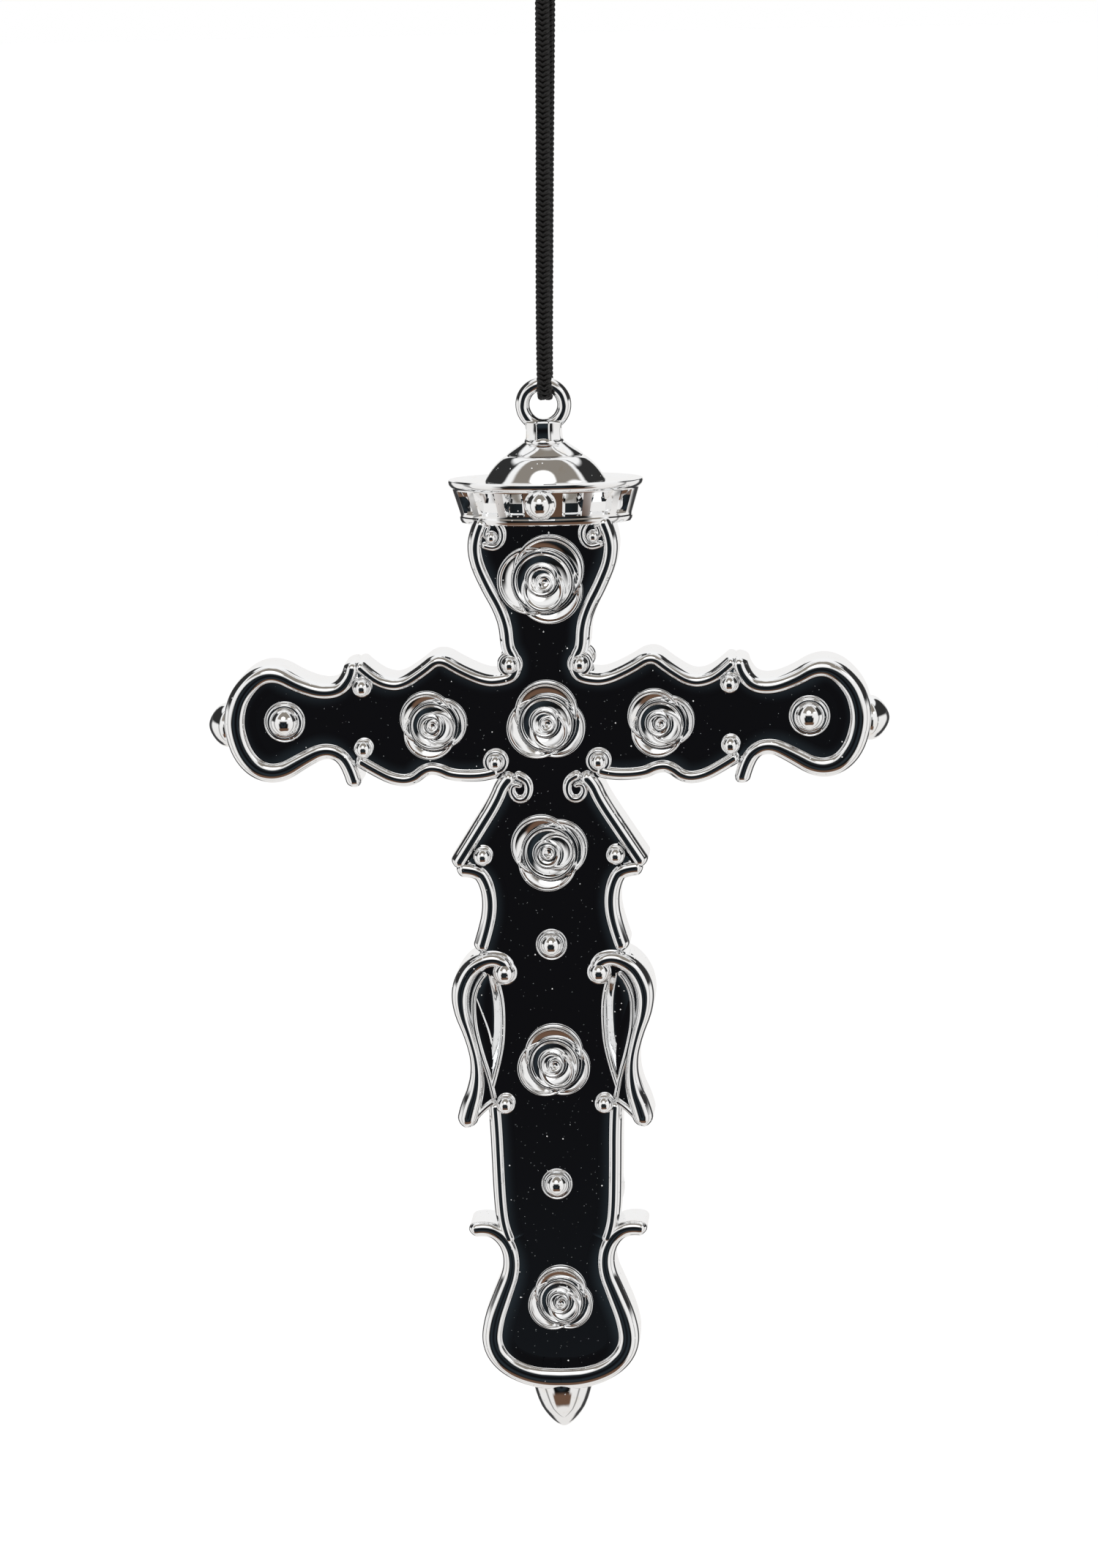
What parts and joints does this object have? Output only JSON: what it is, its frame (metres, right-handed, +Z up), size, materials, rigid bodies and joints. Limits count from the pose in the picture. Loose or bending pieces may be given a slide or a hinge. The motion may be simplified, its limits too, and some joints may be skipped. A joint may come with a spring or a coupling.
{
  "type": "pendant cross on a cord",
  "caption": "Mirror-chrome costume cross with raised rails, applied roses and beads, a crown, knobs and a ring, hanging from a black flat knitted cord.",
  "frame": {"origin": "where a hook bears on the inside of the top of the cord's hanging loop", "axes": "+Z up along the cord and the cross, front faces -Y, +X to the right seen from the front"},
  "size_m": [0.098, 0.0168, 0.225],
  "materials": {
    "chrome_shell": "vacuum-metallised mirror with fine dust pits",
    "chrome_ornament": "vacuum-metallised mirror, softly rounded relief",
    "chrome_fitting": "vacuum-metallised mirror",
    "black_cord": "flat knitted black cord"
  },
  "bodies": {
    "suspension": {"cord_knot": "black_cord"},
    "cord": {"cord": "black_cord"},
    "cross": {"arm_boss_left_back": "chrome_ornament", "arm_boss_left_front": "chrome_ornament", "arm_boss_right_back": "chrome_ornament", "arm_boss_right_front": "chrome_ornament", "arm_knob_left": "chrome_fitting", "arm_knob_right": "chrome_fitting", "back_shell": "chrome_shell", "crown_band": "chrome_fitting", "crown_bead_back": "chrome_ornament", "crown_bead_front": "chrome_ornament", "crown_dome": "chrome_fitting", "foot_finial": "chrome_fitting", "front_shell": "chrome_shell", "hanger_ring": "chrome_fitting", "rail_beads_back": "chrome_ornament", "rail_beads_front": "chrome_ornament", "rose_centre_back": "chrome_ornament", "rose_centre_front": "chrome_ornament", "rose_foot_back": "chrome_ornament", "rose_foot_front": "chrome_ornament", "rose_left_back": "chrome_ornament", "rose_left_front": "chrome_ornament", "rose_right_back": "chrome_ornament", "rose_right_front": "chrome_ornament", "rose_shaft_back": "chrome_ornament", "rose_shaft_front": "chrome_ornament", "rose_skirt_back": "chrome_ornament", "rose_skirt_front": "chrome_ornament", "rose_top_back": "chrome_ornament", "rose_top_front": "chrome_ornament", "shaft_stud_lower_back": "chrome_ornament", "shaft_stud_lower_front": "chrome_ornament", "shaft_stud_upper_back": "chrome_ornament", "shaft_stud_upper_front": "chrome_ornament"}
  },
  "joints": [
    {"name": "cord_swing", "type": "hinge", "parent": "suspension", "child": "cord", "pos_m": [-0.00023, 0, -0.0105], "axis": [0, 1, 0], "range_deg": [-30, 30]},
    {"name": "cross_tilt", "type": "hinge", "parent": "cord", "child": "cross", "pos_m": [-0.00185, 0, -0.07018], "axis": [1, 0, 0], "range_deg": [-60, 60]}
  ]
}
